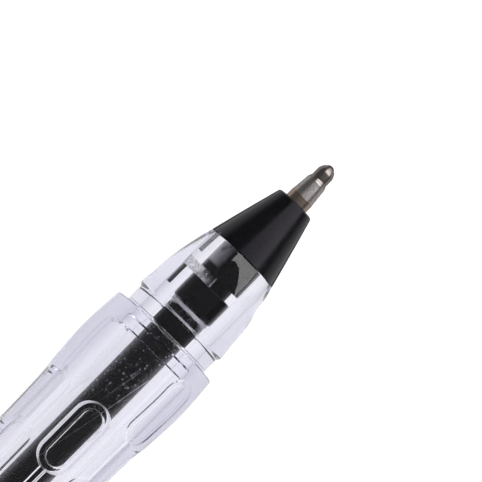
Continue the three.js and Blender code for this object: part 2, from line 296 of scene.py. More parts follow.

# Wear, and the places of a painted reflection and a painted shade
TOP_START = 5
TOP_END = 7
SCRATCHES_START = 25
SCRATCHES_END = 36.5
SCRATCH_ANGLE = math.radians(-11)
SCRATCH_STRETCH = (80, 1, 20)
SCRATCH_SHIFT = 0.3
FROST_START = FLANGE_END - 0.1
FROST_END = BEAD_TOP + 0.1
FROST_ASIDE = 1.45
FROST_HEIGHT = BORE_FRONT + 0.3
# Reach of the painted silver reflection of the air gap on the nose plug
AIR_GAP_REFLECTION_ASIDE = 1.6
AIR_GAP_REFLECTION_LENGTH = 2.2
SPECK_CELLS = 3200
SPECKS_START = 22
SPECKS_END = 27
CRAZE_CELLS = 2600
CRAZE_REAR = (GROOVE_END - 0.1, GROOVE_END + 1)
CRAZE_MIDDLE = (-1, 1.25)
CRAZE_ASIDE = (1.1, 3)

# Studio, in metres
FLOOR_SIZE = 6
FLOOR_GREY = (0.5, 0.5, 0.5, 1)
FLOOR_GLOW = 0.8
MIRRORED_GLOW = {"from_min": 0.02, "from_max": 0.1, "to_min": 0.6, "to_max": 0.3}
MIRRORED_SKY = [(0.0, 0.8), (0.03, 0.2), (0.25, 0.14), (0.8, 0.1)]
SKY_COLOUR = (0.95, 0.97, 1, 1)
SKY_LIGHT = 0.5
WHITE = (1, 1, 1, 1)
KEY_TOWARD = (0.763, -0.281, 0.582)
KEY_EDGE = (0.287, 0.905, 0.319)
KEY_DISTANCE = 1.04
KEY_SIZE = (1.35, 0.76)
KEY_POWER = 9.7

# The photograph: how the camera stood
VIEW_WIDTH = 42.2
VIEW_DISTANCE = 700
VIEW_S = 10.275
VIEW_ASIDE = 1.13
VIEW_LEAN = math.radians(3.5)
VIEW_TURN = math.radians(45.42)
SENSOR = 36


def rounded(corners, steps=6, support=0.04):
    """Corners (s, r, round) as an outline, a round one as an arc between two support points."""
    points = []
    for i, corner in enumerate(corners):
        here = Vector(corner[:2])
        radius = corner[2] if len(corner) > 2 else 0
        if not radius:
            points.append(here)
            continue
        back = Vector(corners[i - 1][:2]) - here
        on = Vector(corners[(i + 1) % len(corners)][:2]) - here
        reach_back = min(radius, back.length * CORNER_SHARE)
        reach_on = min(radius, on.length * CORNER_SHARE)
        first = here + back.normalized() * reach_back
        last = here + on.normalized() * reach_on
        points.append(here + back.normalized() * (reach_back + min(support, reach_back)))
        for k in range(steps + 1):
            t = k / steps
            points.append(first.lerp(here, t).lerp(here.lerp(last, t), t))
        points.append(here + on.normalized() * (reach_on + min(support, reach_on)))
    return [tuple(p) for p in points]


def run(start, end, count, radius_at):
    """Evenly spaced outline points between two places, the first left out."""
    steps = [start + (end - start) * (i + 1) / count for i in range(count)]
    return [(s, radius_at(s)) for s in steps]


def make_mesh(name, vertices, faces, sharp=SHARP):
    mesh = bpy.data.meshes.new(name)
    mesh.from_pydata(vertices, [], faces)
    mesh.validate()
    mesh.shade_smooth()
    mesh.set_sharp_from_angle(angle=math.radians(sharp))
    piece = bpy.data.objects.new(name, mesh)
    bpy.context.scene.collection.objects.link(piece)
    return piece


def revolve(name, outline, faces=96, bend=None, sharp=SHARP):
    """Turns an outline round the pen. It ends on the axis at both ends, or closes on itself."""
    rolls = numpy.arange(faces) * 2 * math.pi / faces
    vertices = []
    rings = []
    count = 0
    for s, r in outline:
        if r < ON_AXIS:
            rings.append([count])
            vertices.append([place(s, 0, 0)])
            count += 1
            continue
        radii = bend(s, r, rolls) if bend else numpy.full(faces, r)
        x = numpy.full(faces, POINT_X - s * MM)
        y = AXIS_Y - radii * numpy.sin(rolls) * MM
        z = AXIS_Z + radii * numpy.cos(rolls) * MM
        rings.append(numpy.arange(count, count + faces))
        vertices.append(numpy.stack([x, y, z], axis=1))
        count += faces
    pairs = list(zip(rings, rings[1:]))
    if len(rings[0]) > 1:
        pairs.append((rings[-1], rings[0]))
    polygons = []
    for near, far in pairs:
        if len(near) == 1:
            polygons += [(near[0], a, b) for a, b in zip(far, numpy.roll(far, -1))]
        elif len(far) == 1:
            polygons += [(b, a, far[0]) for a, b in zip(near, numpy.roll(near, -1))]
        else:
            quads = numpy.stack([near, far, numpy.roll(far, -1), numpy.roll(near, -1)], axis=1)
            polygons += quads.tolist()
    return make_mesh(name, numpy.concatenate(vertices).tolist(), polygons, sharp)


# Shader nodes


def socket_name(key):
    return key.replace("_", " ").title().replace("Ior", "IOR")


def feed(tree, socket, value):
    """Links an output to an input, or sets the input to a plain value."""
    if isinstance(value, bpy.types.NodeSocket):
        tree.links.new(value, socket)
    else:
        socket.default_value = value


def new_material(name, **values):
    """A material with a Principled shader, its values set on its own sockets."""
    material = bpy.data.materials.new(name)
    material.use_nodes = True
    shader = material.node_tree.nodes["Principled BSDF"]
    for key, value in values.items():
        shader.inputs[socket_name(key)].default_value = value
    return material, material.node_tree, shader


def connect(tree, shader, **outputs):
    """Links outputs of other nodes to the shader's inputs."""
    for key, output in outputs.items():
        tree.links.new(output, shader.inputs[socket_name(key)])


def add(tree, kind, **values):
    """Adds a node. Names of its own properties are set on it, and other names on its inputs."""
    node = tree.nodes.new("ShaderNode" + kind)
    for key, value in values.items():
        if hasattr(node, key):
            setattr(node, key, value)
        else:
            feed(tree, node.inputs[socket_name(key)], value)
    return node


def own_place(tree):
    """The object's own coordinates."""
    return add(tree, "TexCoord").outputs["Object"]


def ramp(tree, source, stops):
    """Turns a value into a grey or a colour, by stops of a position and a grey or a colour."""
    node = add(tree, "ValToRGB", fac=source)
    elements = node.color_ramp.elements
    while len(elements) < len(stops):
        elements.new(0.5)
    for element, (position, value) in zip(elements, stops):
        element.position = position
        element.color = (*value, 1) if isinstance(value, tuple) else (value, value, value, 1)
    return node.outputs["Color"]


def compute(tree, operation, *operands, kind="Math", result="Value"):
    """The result of a math node. Each operand is another node's output or a plain value."""
    node = add(tree, kind, operation=operation)
    for socket, operand in zip(node.inputs, operands):
        feed(tree, socket, operand)
    return node.outputs[result]


def chain(tree, operation, sources):
    """Joins sources one after the other by a math operation."""
    result = sources[0]
    for source in sources[1:]:
        result = compute(tree, operation, result, source)
    return result


def product(tree, *sources):
    return chain(tree, "MULTIPLY", sources)


def largest(tree, *sources):
    return chain(tree, "MAXIMUM", sources)


def mixed(tree, share, first, second):
    """A first colour that becomes a second one by a share from 0 to 1."""
    mix = add(tree, "Mix", data_type="RGBA", factor=share, a=first, b=second)
    return mix.outputs["Result"]


def noise(tree, scale, detail=4, stretch=(1, 1, 1)):
    """Noise over the object's own coordinates, stretched along the pen where asked."""
    shape = add(tree, "Mapping", vector=own_place(tree), scale=stretch)
    texture = add(tree, "TexNoise", scale=scale, detail=detail, roughness=0.55)
    tree.links.new(shape.outputs["Vector"], texture.inputs["Vector"])
    return texture.outputs["Fac"]


def cells(tree, scale):
    """The distance to the middle of each cell, and a value that differs from cell to cell."""
    texture = add(tree, "TexVoronoi", vector=own_place(tree), scale=scale)
    split = add(tree, "SeparateColor")
    tree.links.new(texture.outputs["Color"], split.inputs["Color"])
    return texture.outputs["Distance"], split.outputs[0]


def aslant(tree):
    """0 where the surface faces the eye and 1 where it is seen edge on."""
    return add(tree, "LayerWeight", blend=0.5).outputs["Facing"]


def bump(tree, shader, height, strength, distance):
    node = add(tree, "Bump", strength=strength, distance=distance)
    tree.links.new(height, node.inputs["Height"])
    connect(tree, shader, normal=node.outputs["Normal"])


def place_mask(tree, axis, start, end, fade):
    """1 between two places, softly edged: s on X, and offsets from the pen's axis on Y and Z."""
    if axis == "X":
        low, high = POINT_X - end * MM, POINT_X - start * MM
    else:
        middle = AXIS_Y if axis == "Y" else AXIS_Z
        low, high = middle + start * MM, middle + end * MM
    split = add(tree, "SeparateXYZ", vector=own_place(tree))
    slopes = [
        add(tree, "MapRange", value=split.outputs[axis], from_min=edge, from_max=inner)
        for edge, inner in ((low - fade * MM, low), (high + fade * MM, high))
    ]
    return product(tree, *(slope.outputs["Result"] for slope in slopes))


# Masks of wear and of a painted reflection: 1 where it is


def scratches(tree):
    """Rare fine straight lines, at an angle to the pen."""
    shape = add(
        tree, "Mapping", vector_type="TEXTURE", vector=own_place(tree),
        rotation=(0, 0, SCRATCH_ANGLE), scale=SCRATCH_STRETCH,
    )
    shape.inputs["Location"].default_value = (SCRATCH_SHIFT, 0, 0)
    texture = add(tree, "TexNoise", scale=7000, detail=1, roughness=0.5)
    tree.links.new(shape.outputs["Vector"], texture.inputs["Vector"])
    return ramp(tree, texture.outputs["Fac"], [(0.66, 0.0), (0.7, 1.0)])


def facing_edges(tree):
    """The rim and the lip of the pocket that faces up."""
    half = POCKET_WIDTH / 2
    middle = POCKET_START + ROW_STAGGER + POCKET_LENGTH / 2
    vector = own_place(tree)
    for operation, operand in (
        ("SUBTRACT", place(middle, GRIP_RADIUS, ROW_FACING)),
        ("ABSOLUTE", (0, 0, 0)),
        ("SUBTRACT", ((POCKET_LENGTH / 2 - half) * MM, 0, 0)),
        ("MAXIMUM", (0, 0, 0)),
        ("MULTIPLY", (1, 1, 0)),
    ):
        vector = compute(tree, operation, vector, operand, kind="VectorMath", result="Vector")
    distance = compute(tree, "LENGTH", vector, kind="VectorMath")
    edges = [
        compute(tree, "COMPARE", distance, (edge - width / 2) * MM, width / 2 * MM)
        for edge, width in ((half, RIM_WIDTH), (half - RIM_WIDTH - LEDGE_WIDTH, LIP_WIDTH))
    ]
    return largest(tree, *edges)


def frosted_ring(tree):
    """The bore round the end of the nose plug, where the mould's core left it matt."""
    return product(
        tree,
        place_mask(tree, "X", FROST_START, FROST_END, 0.15),
        place_mask(tree, "Y", -FROST_ASIDE, FROST_ASIDE, 0.1),
        place_mask(tree, "Z", -FROST_HEIGHT, FROST_HEIGHT, 0.1),
        ramp(tree, noise(tree, 2200, detail=3), [(0.38, 0.0), (0.55, 1.0)]),
    )


def painted_air_gap_reflection(tree):
    """Where a silver reflection is painted: one side of the nose plug's front, where the bore doesn't
    touch it.
    """
    return product(
        tree,
        place_mask(tree, "X", NOSE_END, NOSE_END + AIR_GAP_REFLECTION_LENGTH, 0.3),
        place_mask(tree, "Y", AIR_GAP_REFLECTION_ASIDE, PLUG_RADIUS, 0.95),
        place_mask(tree, "Z", 0, PLUG_RADIUS, 0.1),
        ramp(tree, noise(tree, 1300, detail=3, stretch=(0.5, 1, 1)), [(0.3, 0.2), (0.42, 1.0)]),
    )


def ink_specks(tree):
    """Dots and wisps near the front, where the ink has pulled off the tube's wall."""
    distance, value = cells(tree, SPECK_CELLS)
    size = ramp(tree, value, [(0.1, 0.4), (0.9, 1.6)])
    dots = ramp(tree, compute(tree, "DIVIDE", distance, size), [(0.19, 1.0), (0.27, 0.0)])
    wisps = ramp(tree, noise(tree, 2600, stretch=(0.45, 1, 1)), [(0.61, 0.0), (0.7, 0.5)])
    patchy = ramp(tree, noise(tree, 900, detail=2), [(0.45, 0.05), (0.55, 1.0)])
    near_front = place_mask(tree, "X", SPECKS_START, SPECKS_END, 3)
    return product(tree, largest(tree, dots, wisps), patchy, near_front)


# Materials


def clear_plastic():
    """Clear polystyrene with a lavender cast by depth, fine scratches and rubbed pocket edges."""
    material, tree, shader = new_material(
        "clear_polystyrene", base_color=WHITE, transmission_weight=1.0, ior=POLYSTYRENE_IOR
    )
    top = place_mask(tree, "Z", TOP_START, TOP_END, 0.2)
    scratched = place_mask(tree, "X", SCRATCHES_START, SCRATCHES_END, 0.4)
    worn = largest(
        tree,
        product(tree, scratches(tree), scratched, top),
        product(tree, facing_edges(tree), top),
        frosted_ring(tree),
    )
    polish = ramp(tree, noise(tree, 260), [(0.3, 0.015), (0.8, 0.05)])
    wear_roughness = ramp(tree, worn, [(0.0, 0.0), (1.0, 0.5)])
    connect(tree, shader, roughness=largest(tree, polish, wear_roughness))
    waves = noise(tree, 240, detail=3, stretch=(0.3, 1, 1))
    bump(tree, shader, waves, strength=0.05, distance=0.0002)
    cast = add(tree, "VolumeAbsorption", density=CAST_DENSITY)
    cast.inputs["Color"].default_value = CAST_COLOUR
    tree.links.new(cast.outputs["Volume"], tree.nodes["Material Output"].inputs["Volume"])
    return material


def tube_plastic():
    """Translucent extruded polypropylene, drawn along the tube."""
    material, tree, shader = new_material(
        "tube_polypropylene",
        base_color=(0.96, 0.96, 0.97, 1),
        transmission_weight=1.0,
        ior=POLYPROPYLENE_IOR,
    )
    roughness = ramp(tree, noise(tree, 900), [(0.3, 0.05), (0.8, 0.16)])
    connect(tree, shader, roughness=roughness)
    drawn = noise(tree, 1800, stretch=(0.1, 1, 1))
    bump(tree, shader, drawn, strength=0.1, distance=0.00005)
    return material


def black_plastic(name, ior, blacks, smooth, rough, grain):
    """Moulded black plastic. It mirrors less where it is seen aslant."""
    material, tree, shader = new_material(name, ior=ior, specular_tint=BLACK_SHEEN)
    dark, light = blacks
    colour = ramp(tree, noise(tree, 1400), [(0.35, dark), (0.75, light)])
    grain_roughness = ramp(tree, noise(tree, 700), [(0.3, smooth), (0.75, rough)])
    edge_roughness = ramp(tree, aslant(tree), [(0.55, 0.0), (0.8, 0.75)])
    roughness = largest(tree, grain_roughness, edge_roughness)
    connect(tree, shader, base_color=colour, roughness=roughness)
    bump(tree, shader, noise(tree, 7000, detail=2), strength=grain, distance=0.00004)
    return material, tree, shader


def nose_plastic():
    """Satin black, with a silver reflection of the air gap painted on one side of the plug's front.
    """
    material, tree, shader = black_plastic("nose_satin", SATIN_IOR, NOSE_BLACKS, 0.2, 0.28, 0.12)
    black = shader.inputs["Base Color"].links[0].from_socket
    # Painted reflection: silver is mixed into the black where the plug's air gap would mirror light
    connect(tree, shader, base_color=mixed(tree, painted_air_gap_reflection(tree), black, AIR_GAP_REFLECTION_SILVER))
    return material


def black_ink():
    """Wet ink behind the tube wall, with pale specks."""
    material, tree, shader = new_material("black_ink", ior=INK_IOR)
    colour = ramp(tree, ink_specks(tree), [(0.0, INK_BLACK), (1.0, SPECK_WHITE)])
    roughness = ramp(tree, noise(tree, 500), [(0.3, 0.15), (0.8, 0.35)])
    connect(tree, shader, base_color=colour, roughness=roughness)
    return material


def milky_plastic():
    """Natural polypropylene: milky and slightly clouded."""
    material, tree, shader = new_material(
        "natural_polypropylene", ior=POLYPROPYLENE_IOR, transmission_weight=0.1
    )
    colour = ramp(tree, noise(tree, 1200), [(0.3, (0.93, 0.92, 0.95)), (0.8, (0.99, 0.98, 1.0))])
    roughness = ramp(tree, noise(tree, 900), [(0.3, 0.25), (0.8, 0.4)])
    connect(tree, shader, base_color=colour, roughness=roughness)
    bump(tree, shader, noise(tree, 2500, detail=2), strength=0.6, distance=0.00006)
    return material


def crazed_plastic():
    """Clear plastic full of small cracks, which shine white at its rear. Its front is darkened in the
    middle by painted shade.
    """
    material, tree, shader = new_material("crazed_polystyrene", ior=POLYSTYRENE_IOR)
    rear = place_mask(tree, "X", *CRAZE_REAR, 0.9)
    front = compute(tree, "SUBTRACT", 1, rear)
    middle = place_mask(tree, "Y", *CRAZE_MIDDLE, 0.25)
    aside = place_mask(tree, "Y", *CRAZE_ASIDE, 0.85)
    # Painted shade: the front's middle is darkened in the colour
    dark = product(tree, front, middle)
    colour = ramp(tree, dark, [(0.0, (1.0, 0.99, 1.0)), (0.9, CRAZED_PAINTED_SHADE)])
    value = cells(tree, CRAZE_CELLS)[1]
    grain = product(tree, value, ramp(tree, noise(tree, 1500, detail=3), [(0.35, 0.3), (0.6, 1.0)]))
    roughness = ramp(tree, grain, [(0.2, 0.1), (0.8, 0.3)])
    cracks = ramp(tree, noise(tree, 1800, detail=3), [(0.38, 0.3), (0.6, 1.0)])
    clear = ramp(tree, product(tree, cracks, rear, middle, aside), [(0.0, 1.0), (0.9, 0.1)])
    connect(tree, shader, base_color=colour, roughness=roughness, transmission_weight=clear)
    bump(tree, shader, noise(tree, 3500, detail=2), strength=0.5, distance=0.0002)
    return material


def follower_grease():
    """Clear amber grease, slightly clouded."""
    material, tree, shader = new_material(
        "follower_grease", transmission_weight=0.7, ior=GREASE_IOR
    )
    colour = ramp(tree, noise(tree, 400), [(0.3, (0.86, 0.82, 0.66)), (0.8, (0.93, 0.9, 0.78))])
    roughness = ramp(tree, noise(tree, 900), [(0.3, 0.2), (0.8, 0.35)])
    connect(tree, shader, base_color=colour, roughness=roughness)
    return material


def turned_metal(name, greys, smooth, stain=None):
    """Metal with fine turning lines round the pen and painted shade edge on. A stain comes with a
    rubbed cone before it.
    """
    material, tree, shader = new_material(
        name,
        metallic=1.0,
        anisotropic=0.6,
        anisotropic_rotation=0.25,
        specular_tint=RUBBED_METAL,
    )
    round_the_pen = add(tree, "Tangent", direction_type="RADIAL", axis="X")
    lines = noise(tree, 3000, detail=3, stretch=(6, 0.15, 0.15))
    dark, light = greys
    colour = ramp(tree, lines, [(0.3, dark), (0.75, light)])
    cone = place_mask(tree, "X", TIP_CONE_START, TIP_CONE_END, 0.05)
    if stain:
        patchy = ramp(tree, noise(tree, 7000), [(0.4, 0.4), (0.6, 1.0)])
        colour = mixed(tree, product(tree, cone, patchy), colour, RUBBED_METAL)
        collar = place_mask(tree, "X", TIP_CONE_END, TIP_END, 0.02)
        colour = mixed(tree, collar, colour, stain)
    # Painted shade: the colour falls to 0.62 where the metal is seen edge on
    shade = ramp(tree, aslant(tree), [(0.12, 1.0), (0.32, 0.62)])
    shaded = add(tree, "VectorMath", operation="SCALE", scale=shade)
    tree.links.new(colour, shaded.inputs[0])
    fine = ramp(tree, lines, [(0.3, smooth), (0.8, smooth + 0.16)])
    grainy = product(tree, cone, ramp(tree, noise(tree, 9000), [(0.3, 0.3), (0.7, 0.42)]))
    connect(
        tree,
        shader,
        tangent=round_the_pen.outputs["Tangent"],
        base_color=shaded.outputs["Vector"],
        roughness=largest(tree, fine, grainy),
    )
    bump(tree, shader, lines, strength=0.03, distance=0.00002)
    return material


def brushed_steel():
    """Strip steel, brushed along the pen."""
    material, tree, shader = new_material("clip_steel", metallic=1.0)
    lines = noise(tree, 4000, detail=3, stretch=(0.04, 1, 1))
    colour = ramp(tree, lines, [(0.3, (0.62, 0.62, 0.64)), (0.75, (0.8, 0.8, 0.82))])
    roughness = ramp(tree, lines, [(0.3, 0.18), (0.8, 0.34)])
    connect(tree, shader, base_color=colour, roughness=roughness)
    bump(tree, shader, lines, strength=0.2, distance=0.00002)
    return material


def dress(piece, body, slot, material, *nodes):
    """Gives a piece its material and body, and hides the nodes that it replaces. Its slot is not
    used.
    """
    piece.data.materials.clear()
    piece.data.materials.append(material)
    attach(piece, body)
    if nodes:
        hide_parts(*nodes)


# Pieces


def make_ball(material):
    arc = [math.pi * i / BALL_STEPS for i in range(BALL_STEPS + 1)]
    outline = [(BALL_RADIUS * (1 - math.cos(a)), BALL_RADIUS * math.sin(a)) for a in arc]
    outline[0] = (0, 0)
    outline[-1] = (2 * BALL_RADIUS, 0)
    ball = revolve("ball_of_carbide", outline, 48)
    dress(ball, "ball", "ball_metal", material, "writing_ball")


def dome_radius(s):
    share = (s - TIP_START) / (TIP_DOME_END - TIP_START)
    return TIP_LIP_RADIUS + (TIP_FRONT_RADIUS - TIP_LIP_RADIUS) * math.sin(share * math.pi / 2)


def make_tip(material):
    cup_radius = BALL_RADIUS + FIT_GAP
    lip = math.acos((BALL_RADIUS - TIP_START) / cup_radius)
    floor = math.pi - math.asin(TIP_CHANNEL_RADIUS / cup_radius)
    angles = [floor + (lip - floor) * i / TIP_CUP_STEPS for i in range(TIP_CUP_STEPS + 1)]
    cup = [(BALL_RADIUS - cup_radius * math.cos(a), cup_radius * math.sin(a)) for a in angles]
    dome = run(TIP_START, TIP_DOME_END, 9, dome_radius)[:-1]
    outer = rounded([
        (TIP_START, TIP_LIP_RADIUS, 0.03),
        *dome,
        (TIP_DOME_END, TIP_FRONT_RADIUS, 0.05),
        (TIP_FRONT_END, TIP_FRONT_RADIUS, 0.05),
        (TIP_CONE_START, TIP_CONE_RADIUS, 0.06),
        (TIP_CONE_END, TIP_CONE_END_RADIUS),
        (TIP_CONE_END + TIP_COLLAR_EDGE, TIP_COLLAR_RADIUS, 0.02),
        (TIP_END, TIP_COLLAR_RADIUS),
        (TIP_END, TIP_CHANNEL_RADIUS),
    ], steps=4, support=0.02)
    dress(revolve("turned_tip", outer + cup, 96), "pen", "tip_metal", material, "tip_body")


def nose_radius(s):
    distance = s - NOSE_FACE
    return NOSE_FACE_RADIUS + NOSE_TAPER * distance - NOSE_TAPER_FADE * distance * distance


def make_nose(material):
    outline = rounded([
        (NOSE_FACE, TIP_BORE, 0.05),
        (NOSE_FACE, NOSE_FACE_RADIUS, NOSE_EDGE),
        *run(NOSE_FACE + NOSE_EDGE, NOSE_END - NOSE_REAR_EDGE, 14, nose_radius),
        (NOSE_END, nose_radius(NOSE_END), 0.06),
        (NOSE_END, PLUG_RADIUS),
        (GROOVE_START, PLUG_RADIUS, 0.08),
        (GROOVE_START, GROOVE_RADIUS, 0.08),
        (GROOVE_END, GROOVE_RADIUS, 0.08),
        (GROOVE_END, PLUG_RADIUS, 0.08),
        (FLANGE_END, PLUG_RADIUS, 0.35),
        (FLANGE_END, NECK_GAP_RADIUS, 0.08),
        (NECK_GAP_END, NECK_GAP_RADIUS, 0.08),
        (NECK_GAP_END, SOCKET_RADIUS, 0.1),
        (SOCKET_END, SOCKET_RADIUS, 0.05),
        (SOCKET_END, SOCKET_BORE, 0.03),
        (TUBE_SEAT, SOCKET_BORE),
        (TUBE_SEAT, INK_CHAMBER_RADIUS),
        (TIP_END, INK_CHAMBER_RADIUS),
        (TIP_END, TIP_BORE),
    ])
    nose = revolve("nose_moulding", outline, 160)
    dress(nose, "pen", "nose_plastic", material, "nose_cone")


def arc_plate(name, start, end, low, high, first_roll, last_roll, faces=16):
    """A closed plate bent round the pen."""
    rolls = [first_roll + (last_roll - first_roll) * i / faces for i in range(faces + 1)]
    corners = ((start, low), (end, low), (end, high), (start, high))
    vertices = [place(s, r, roll) for roll in rolls for s, r in corners]
    polygons = [(0, 1, 2, 3), tuple(4 * faces + i for i in (3, 2, 1, 0))]
    for i in range(faces):
        near, far = 4 * i, 4 * i + 4
        polygons += [
            (near + k, far + k, far + (k + 1) % 4, near + (k + 1) % 4)
            for k in range(4)
        ]
    return make_mesh(name, vertices, polygons)


def make_plug_details(black, milky, crazed):
    """What shows round the plug through the barrel: a collar, contact strips and the snap lug."""
    collar = rounded([
        (COLLAR_START, COLLAR_BORE),
        (COLLAR_START, COLLAR_RADIUS, 0.06),
        (COLLAR_END, COLLAR_RADIUS, 0.06),
        (COLLAR_END, COLLAR_BORE),
    ])
    dress(revolve("refill_collar", collar, 96), "pen", "tube_plastic", milky)
    for side, rolls in CONTACT_ROLLS.items():
        for end, reach in CONTACT_REACHES.items():
            name = f"plug_contact_{side}_{end}"
            strip = arc_plate(name, *reach, CONTACT_FOOT, DETAIL_TOP, *rolls)
            dress(strip, "pen", "nose_plastic", black)
    lug_reach = (GROOVE_START + LUG_GAP, GROOVE_END - LUG_GAP)
    lug = arc_plate("snap_lug", *lug_reach, LUG_FOOT, DETAIL_TOP, *LUG_ROLLS, LUG_FACES)
    dress(lug, "pen", "clear_plastic", crazed)


def make_refill(tube_material, ink_material, grease_material):
    tube = rounded([
        (TUBE_START, TUBE_RADIUS),
        (TUBE_END, TUBE_RADIUS, 0.05),
        (TUBE_END, TUBE_BORE),
        (TUBE_START, TUBE_BORE),
    ])
    dress(revolve("refill_tube", tube, 96), "pen", "tube_plastic", tube_material, "ink_tube")
    start, end = along(ink_high.x), along(ink_low.x)
    ink = [
        (start, 0),
        (start, INK_RADIUS),
        *run(start, end, INK_RINGS, lambda s: INK_RADIUS),
        (end, 0),
    ]
    dress(revolve("ink_fill", ink, 64), "pen", "ink", ink_material, "ink_column")
    start, end = along(grease_high.x), along(grease_low.x)
    grease = [
        (start, 0),
        (start, INK_RADIUS),
        (end - GREASE_ROUND, INK_RADIUS),
        (end - GREASE_TOP, INK_RADIUS * GREASE_TOP_SHARE),
        (end, 0),
    ]
    dress(revolve("grease_plug", grease, 64), "pen", "grease", grease_material, "ink_follower")


def front_radius(s):
    left = (BEAD_START - s) / (BEAD_START - NOSE_END)
    return FRONT_RADIUS + (FRONT_END_RADIUS - FRONT_RADIUS) * (1 - left ** FRONT_CURVE)


def grip_radius(s):
    spread = (s - GRIP_CREST) / GRIP_SPREAD
    taper = max(0, s - GRIP_END) / (TAIL_SHOULDER - GRIP_END) * (BARREL_RADIUS - BARREL_REAR_RADIUS)
    return BARREL_RADIUS - taper + (GRIP_RADIUS - BARREL_RADIUS) / (1 + spread * spread)


def pocket_starts(late):
    start = POCKET_START + (ROW_STAGGER if late else 0)
    return [start + i * POCKET_PITCH for i in range(LATE_POCKETS if late else EARLY_POCKETS)]


def ramp_between(value, start, width):
    return numpy.clip((value - start) / width, 0, 1)


def pocket_depth(s, rolls):
    """How deep the pressed pattern lies. It is crisp where the mould halves pull straight."""
    step = 2 * math.pi / ROWS
    rows = numpy.round((rolls - ROW_FACING) / step)
    aside = (rolls - ROW_FACING - rows * step) * grip_radius(s)
    crisp = rows % (ROWS / MOULD_HALVES) == 0
    half = POCKET_WIDTH / 2
    straight = POCKET_LENGTH / 2 - half
    inside = numpy.full(len(rolls), -1.0)
    lip_inside = inside.copy()
    for late in (True, False):
        mine = (rows % 2 == 0) == late
        starts = pocket_starts(late)
        for start in starts:
            beyond = max(abs(s - start - POCKET_LENGTH / 2) - straight, 0)
            here = half - numpy.hypot(beyond, aside)
            lip_here = half - numpy.hypot(beyond, aside - LIP_ASIDE * crisp)
            inside = numpy.where(mine, numpy.maximum(inside, here), inside)
            lip_inside = numpy.where(mine, numpy.maximum(lip_inside, lip_here), lip_inside)
        if starts[0] + half < s < starts[-1] + half:
            channel = CHANNEL_WIDTH / 2 - abs(aside)
            inside = numpy.where(mine, numpy.maximum(inside, channel), inside)
    rim_width = numpy.where(crisp, RIM_WIDTH, SIDE_RIM_WIDTH)
    side = numpy.where(rows % ROWS < ROWS / MOULD_HALVES, 1, -1)
    tilt = 1 - numpy.where(side > 0, SIDE_RIM_TILT, 0) * numpy.clip(aside / half, -1, 1)
    side_depth = numpy.where(side > 0, SIDE_RIM_DEPTH, BACK_SIDE_RIM_DEPTH) * tilt
    rim = numpy.where(crisp, RIM_DEPTH, side_depth) * ramp_between(inside, 0, rim_width)
    ledge = LEDGE_FALL * ramp_between(inside, rim_width, LEDGE_WIDTH)
    lip = ramp_between(lip_inside, RIM_WIDTH + LEDGE_WIDTH, LIP_WIDTH)
    return rim + ledge + numpy.where(crisp, LIP_DEPTH, SIDE_LIP_DEPTH * tilt) * lip


def grip_stations(start, end):
    """Places along the grip, close together where a pocket's round ends lie."""
    half = POCKET_WIDTH / 2
    ends = []
    for first in pocket_starts(True) + pocket_starts(False):
        last = first + POCKET_LENGTH
        ends += [(first - FINE_STEP, first + half), (last - half, last + FINE_STEP)]
    places = [start]
    while places[-1] < end:
        here = places[-1]
        fine = any(low <= here <= high for low, high in ends)
        ahead = [low for low, high in ends if here < low < here + PLAIN_STEP]
        places.append(here + FINE_STEP if fine else min([here + PLAIN_STEP, *ahead]))
    return [(s, grip_radius(s)) for s in places[:-1]] + [(end, grip_radius(end))]


def press_barrel(s, r, rolls):
    """The barrel's radii at s, with the gate's dent and the grip's pattern pressed in."""
    if r < OUTSIDE_RADIUS or BEAD_START < s < PATTERN_START or s > GRIP_END:
        return numpy.full(len(rolls), r)
    if s < BEAD_START:
        reach = ((s - GATE_AT) / GATE_LENGTH) ** 2 + ((rolls - math.pi / 2) / GATE_TURN) ** 2
        return r - GATE_DEPTH * numpy.exp(-reach)
    return r - pocket_depth(s, rolls)


def make_barrel(material):
    outline = rounded([
        (BARREL_FACE, BORE_FRONT, 0.04),
        (BARREL_FACE, FRONT_RADIUS, 0.12),
        *run(FRONT_START, BEAD_START, 20, front_radius),
        (BEAD_TOP, NECK_RADIUS + BEAD_HEIGHT, 0.4),
        (BEAD_TOP_END, NECK_RADIUS + BEAD_HEIGHT, 0.1),
        (BEAD_END, NECK_RADIUS, 0.1),
        (SHOULDER, NECK_RADIUS, 0.3),
        (SHOULDER, grip_radius(SHOULDER), SHOULDER_ROUND),
        *grip_stations(SHOULDER + SHOULDER_ROUND, GRIP_END),
        *run(GRIP_END, TAIL_ROUND_START, 12, grip_radius),
        (TAIL_SHOULDER, grip_radius(TAIL_SHOULDER), 0.2),
        (TAIL_SHOULDER, NECK_RADIUS, 0.1),
        (BARREL_END, NECK_RADIUS, 0.15),
        (BARREL_END, BORE_REAR, 0.05),
        (BORE_REAR_AT, BORE_REAR, 0.03),
        (BORE_REAR_AT, BORE_MIDDLE + BORE_CHAMFER, 0.02),
        (BORE_REAR_AT - BORE_CHAMFER, BORE_MIDDLE, 0.02),
        (BORE_STEP_AT + BORE_MIDDLE - BORE_FRONT, BORE_MIDDLE, 0.02),
        (BORE_STEP_AT, BORE_FRONT, 0.02),
    ])
    barrel = revolve("clear_barrel", outline, BARREL_FACES, press_barrel, BARREL_SHARP)
    dress(barrel, "pen", "clear_plastic", material, "barrel")


def make_tail_plug(material):
    start, end = along(plug_high.x), along(plug_low.x)
    outline = rounded([
        (start, PLUG_VENT_RADIUS),
        (start, BORE_REAR - FIT_GAP, 0.15),
        (BARREL_END, BORE_REAR - FIT_GAP),
        (BARREL_END, PLUG_HEAD_RADIUS, 0.08),
        (end, PLUG_HEAD_RADIUS, 0.6),
        (end, PLUG_VENT_RADIUS, 0.08),
    ])
    dress(revolve("tail_stopper", outline, 96), "pen", "cap_plastic", material, "tail_plug")


